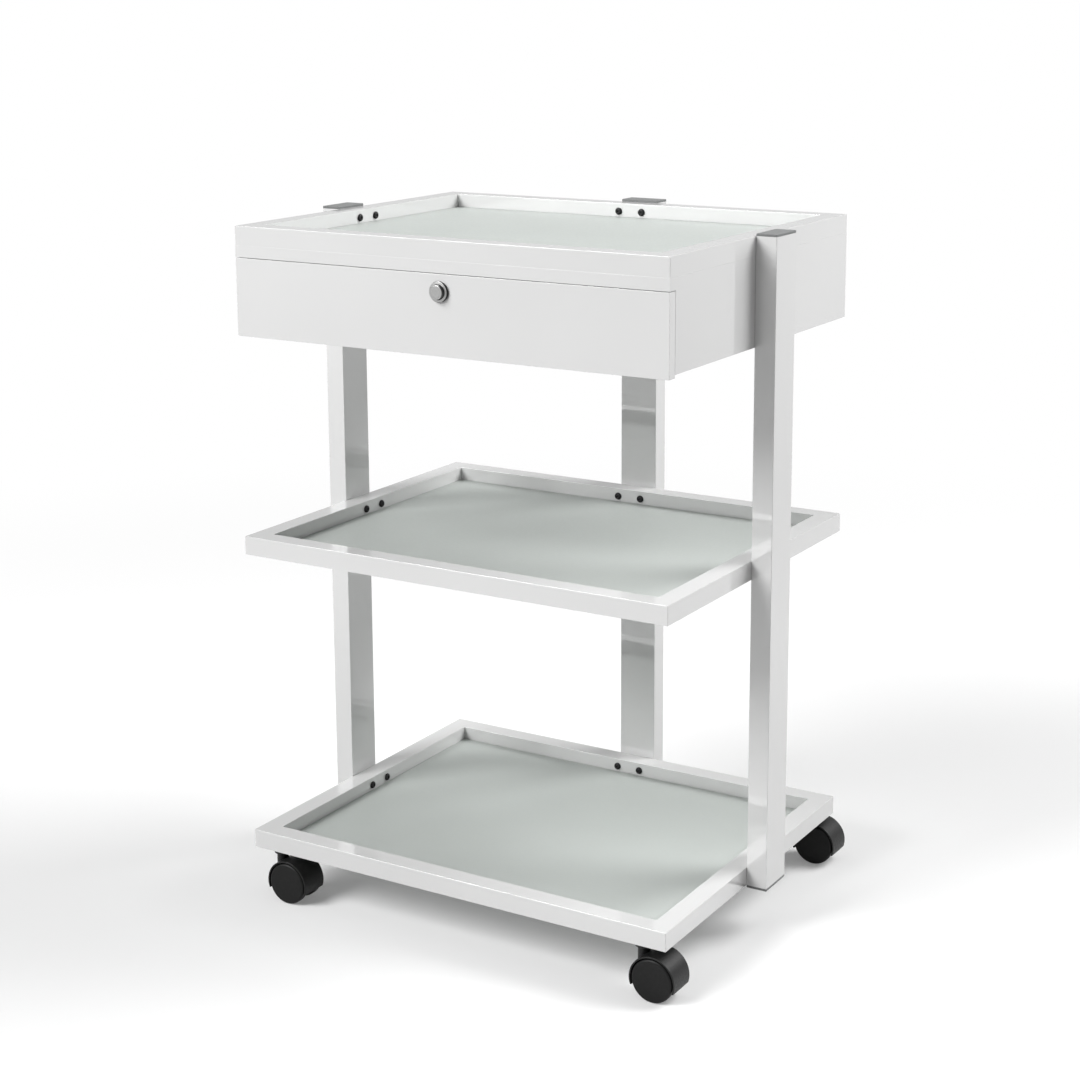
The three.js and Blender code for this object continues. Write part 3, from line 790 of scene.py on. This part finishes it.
def make_floor():
    """A wide pale floor: matt near the trolley, running out into plain white. It throws little
    scattered light back up, so the undersides and inner corners stay dark."""
    mesh = bpy.data.meshes.new("floor")
    rim = [(x, y, 0) for x, y in circle(FLOOR_RADIUS, 64)]
    mesh.from_pydata(rim, [], [tuple(range(len(rim)))])
    floor = bpy.data.objects.new("floor", mesh)
    bpy.context.scene.collection.objects.link(floor)
    paper = Shader("floor_paper", Roughness=0.9, Specular_IOR_Level=0.2)
    paper.colour(paper.noise(0.7), (0.745, 0.745, 0.745), (0.755, 0.755, 0.755))
    lit = paper.node("ShaderNodeEmission", Color=(1, 1, 1, 1), Strength=FLOOR_LIFT)
    near = paper.tree.nodes.new("ShaderNodeAddShader")
    paper.link(paper.surface.outputs["BSDF"], near.inputs[0])
    paper.link(lit.outputs["Emission"], near.inputs[1])
    path = paper.tree.nodes.new("ShaderNodeLightPath")
    shine = paper.node("ShaderNodeMapRange", To_Min=GLOW_UNSEEN, To_Max=GLOW_SEEN)
    paper.link(path.outputs["Is Camera Ray"], shine.inputs["Value"])
    glow = paper.node("ShaderNodeEmission", Color=(1, 1, 1, 1))
    paper.link(shine.outputs["Result"], glow.inputs["Strength"])
    distance = paper.tree.nodes.new("ShaderNodeVectorMath")
    distance.operation = "LENGTH"
    paper.link(paper.place, distance.inputs["Vector"])
    fade = paper.node("ShaderNodeMapRange", From_Min=FLOOR_NEAR, From_Max=FLOOR_FAR)
    fade.interpolation_type = "SMOOTHSTEP"
    paper.link(distance.outputs["Value"], fade.inputs["Value"])
    mix = paper.tree.nodes.new("ShaderNodeMixShader")
    paper.link(fade.outputs["Result"], mix.inputs["Fac"])
    paper.link(near.outputs["Shader"], mix.inputs[1])
    paper.link(glow.outputs["Emission"], mix.inputs[2])
    dim = paper.node("ShaderNodeBsdfDiffuse", Color=(0.35, 0.35, 0.35, 1))
    pick = paper.tree.nodes.new("ShaderNodeMixShader")
    paper.link(path.outputs["Is Diffuse Ray"], pick.inputs["Fac"])
    paper.link(mix.outputs["Shader"], pick.inputs[1])
    paper.link(dim.outputs["BSDF"], pick.inputs[2])
    paper.link(pick.outputs["Shader"], paper.tree.nodes["Material Output"].inputs["Surface"])
    mesh.materials.append(paper.material)


def make_world():
    """A white room to the camera, a grey one in reflections, and hardly any light from it otherwise."""
    world = bpy.data.worlds.new("studio")
    bpy.context.scene.world = world
    world.use_nodes = True
    tree = world.node_tree
    tree.nodes.remove(tree.nodes["Background"])
    path = tree.nodes.new("ShaderNodeLightPath")
    seen = None
    for ray, strength in ((None, 0.02), ("Is Glossy Ray", 0.62), ("Is Camera Ray", 1.0)):
        room = tree.nodes.new("ShaderNodeBackground")
        room.inputs["Color"].default_value = (1, 1, 1, 1)
        room.inputs["Strength"].default_value = strength
        if ray:
            mix = tree.nodes.new("ShaderNodeMixShader")
            tree.links.new(path.outputs[ray], mix.inputs["Fac"])
            tree.links.new(seen, mix.inputs[1])
            tree.links.new(room.outputs["Background"], mix.inputs[2])
            seen = mix.outputs["Shader"]
        else:
            seen = room.outputs["Background"]
    tree.links.new(seen, tree.nodes["World Output"].inputs["Surface"])


def seen_from(azimuth, elevation):
    """The direction towards a viewer at these angles in degrees; azimuth 0 faces the drawer."""
    turn, rise = math.radians(azimuth), math.radians(elevation)
    return Vector((math.sin(turn) * math.cos(rise), -math.cos(turn) * math.cos(rise), math.sin(rise)))


def add_softbox(name, azimuth, elevation, power, distance=6.0, aim_height=0.45):
    """A square lamp half as wide as it is far away, aimed at a point above the origin."""
    light = bpy.data.lights.new(name, "AREA")
    light.size = distance / 2
    light.energy = power
    lamp = bpy.data.objects.new(name, light)
    towards = seen_from(azimuth, elevation)
    lamp.location = Vector((0, 0, aim_height)) + towards * distance
    lamp.rotation_mode = "QUATERNION"
    lamp.rotation_quaternion = (-towards).to_track_quat("-Z", "Y")
    bpy.context.scene.collection.objects.link(lamp)


def make_lights():
    """Name, azimuth, elevation and watts of each lamp; the last is nearer and aimed higher."""
    add_softbox("key", -30, 38, 353)
    add_softbox("low_fill", -30, 18, 57)
    add_softbox("back", 130, 38, 310)
    add_softbox("overhead", 0, 85, 30)
    add_softbox("side", 118, 42, 10, distance=1.8, aim_height=0.75)


def make_camera():
    """The photo's viewpoint, with its slight roll and its off-centre crop."""
    back = seen_from(VIEW_AZIMUTH, VIEW_ELEVATION)
    roll = math.radians(VIEW_ROLL)
    right = (-back).cross(Vector((0, 0, 1))).normalized()
    up = right.cross(-back)
    tilted_right = right * math.cos(roll) + up * math.sin(roll)
    tilted_up = up * math.cos(roll) - right * math.sin(roll)
    data = bpy.data.cameras.new("camera")
    data.sensor_width = VIEW_SENSOR
    data.lens = VIEW_LENS
    data.shift_x = VIEW_SHIFT_X
    data.shift_y = VIEW_SHIFT_Y
    data.clip_end = 100
    camera = bpy.data.objects.new("camera", data)
    turn = Matrix((tilted_right, tilted_up, back)).transposed().to_4x4()
    camera.matrix_world = Matrix.Translation(VIEW_PLACE) @ turn
    bpy.context.scene.collection.objects.link(camera)
    bpy.context.scene.camera = camera


make_shelves()
make_posts()
make_drawer()
make_casters()
make_floor()
make_world()
make_lights()
make_camera()
bpy.context.scene.view_settings.view_transform = "Standard"
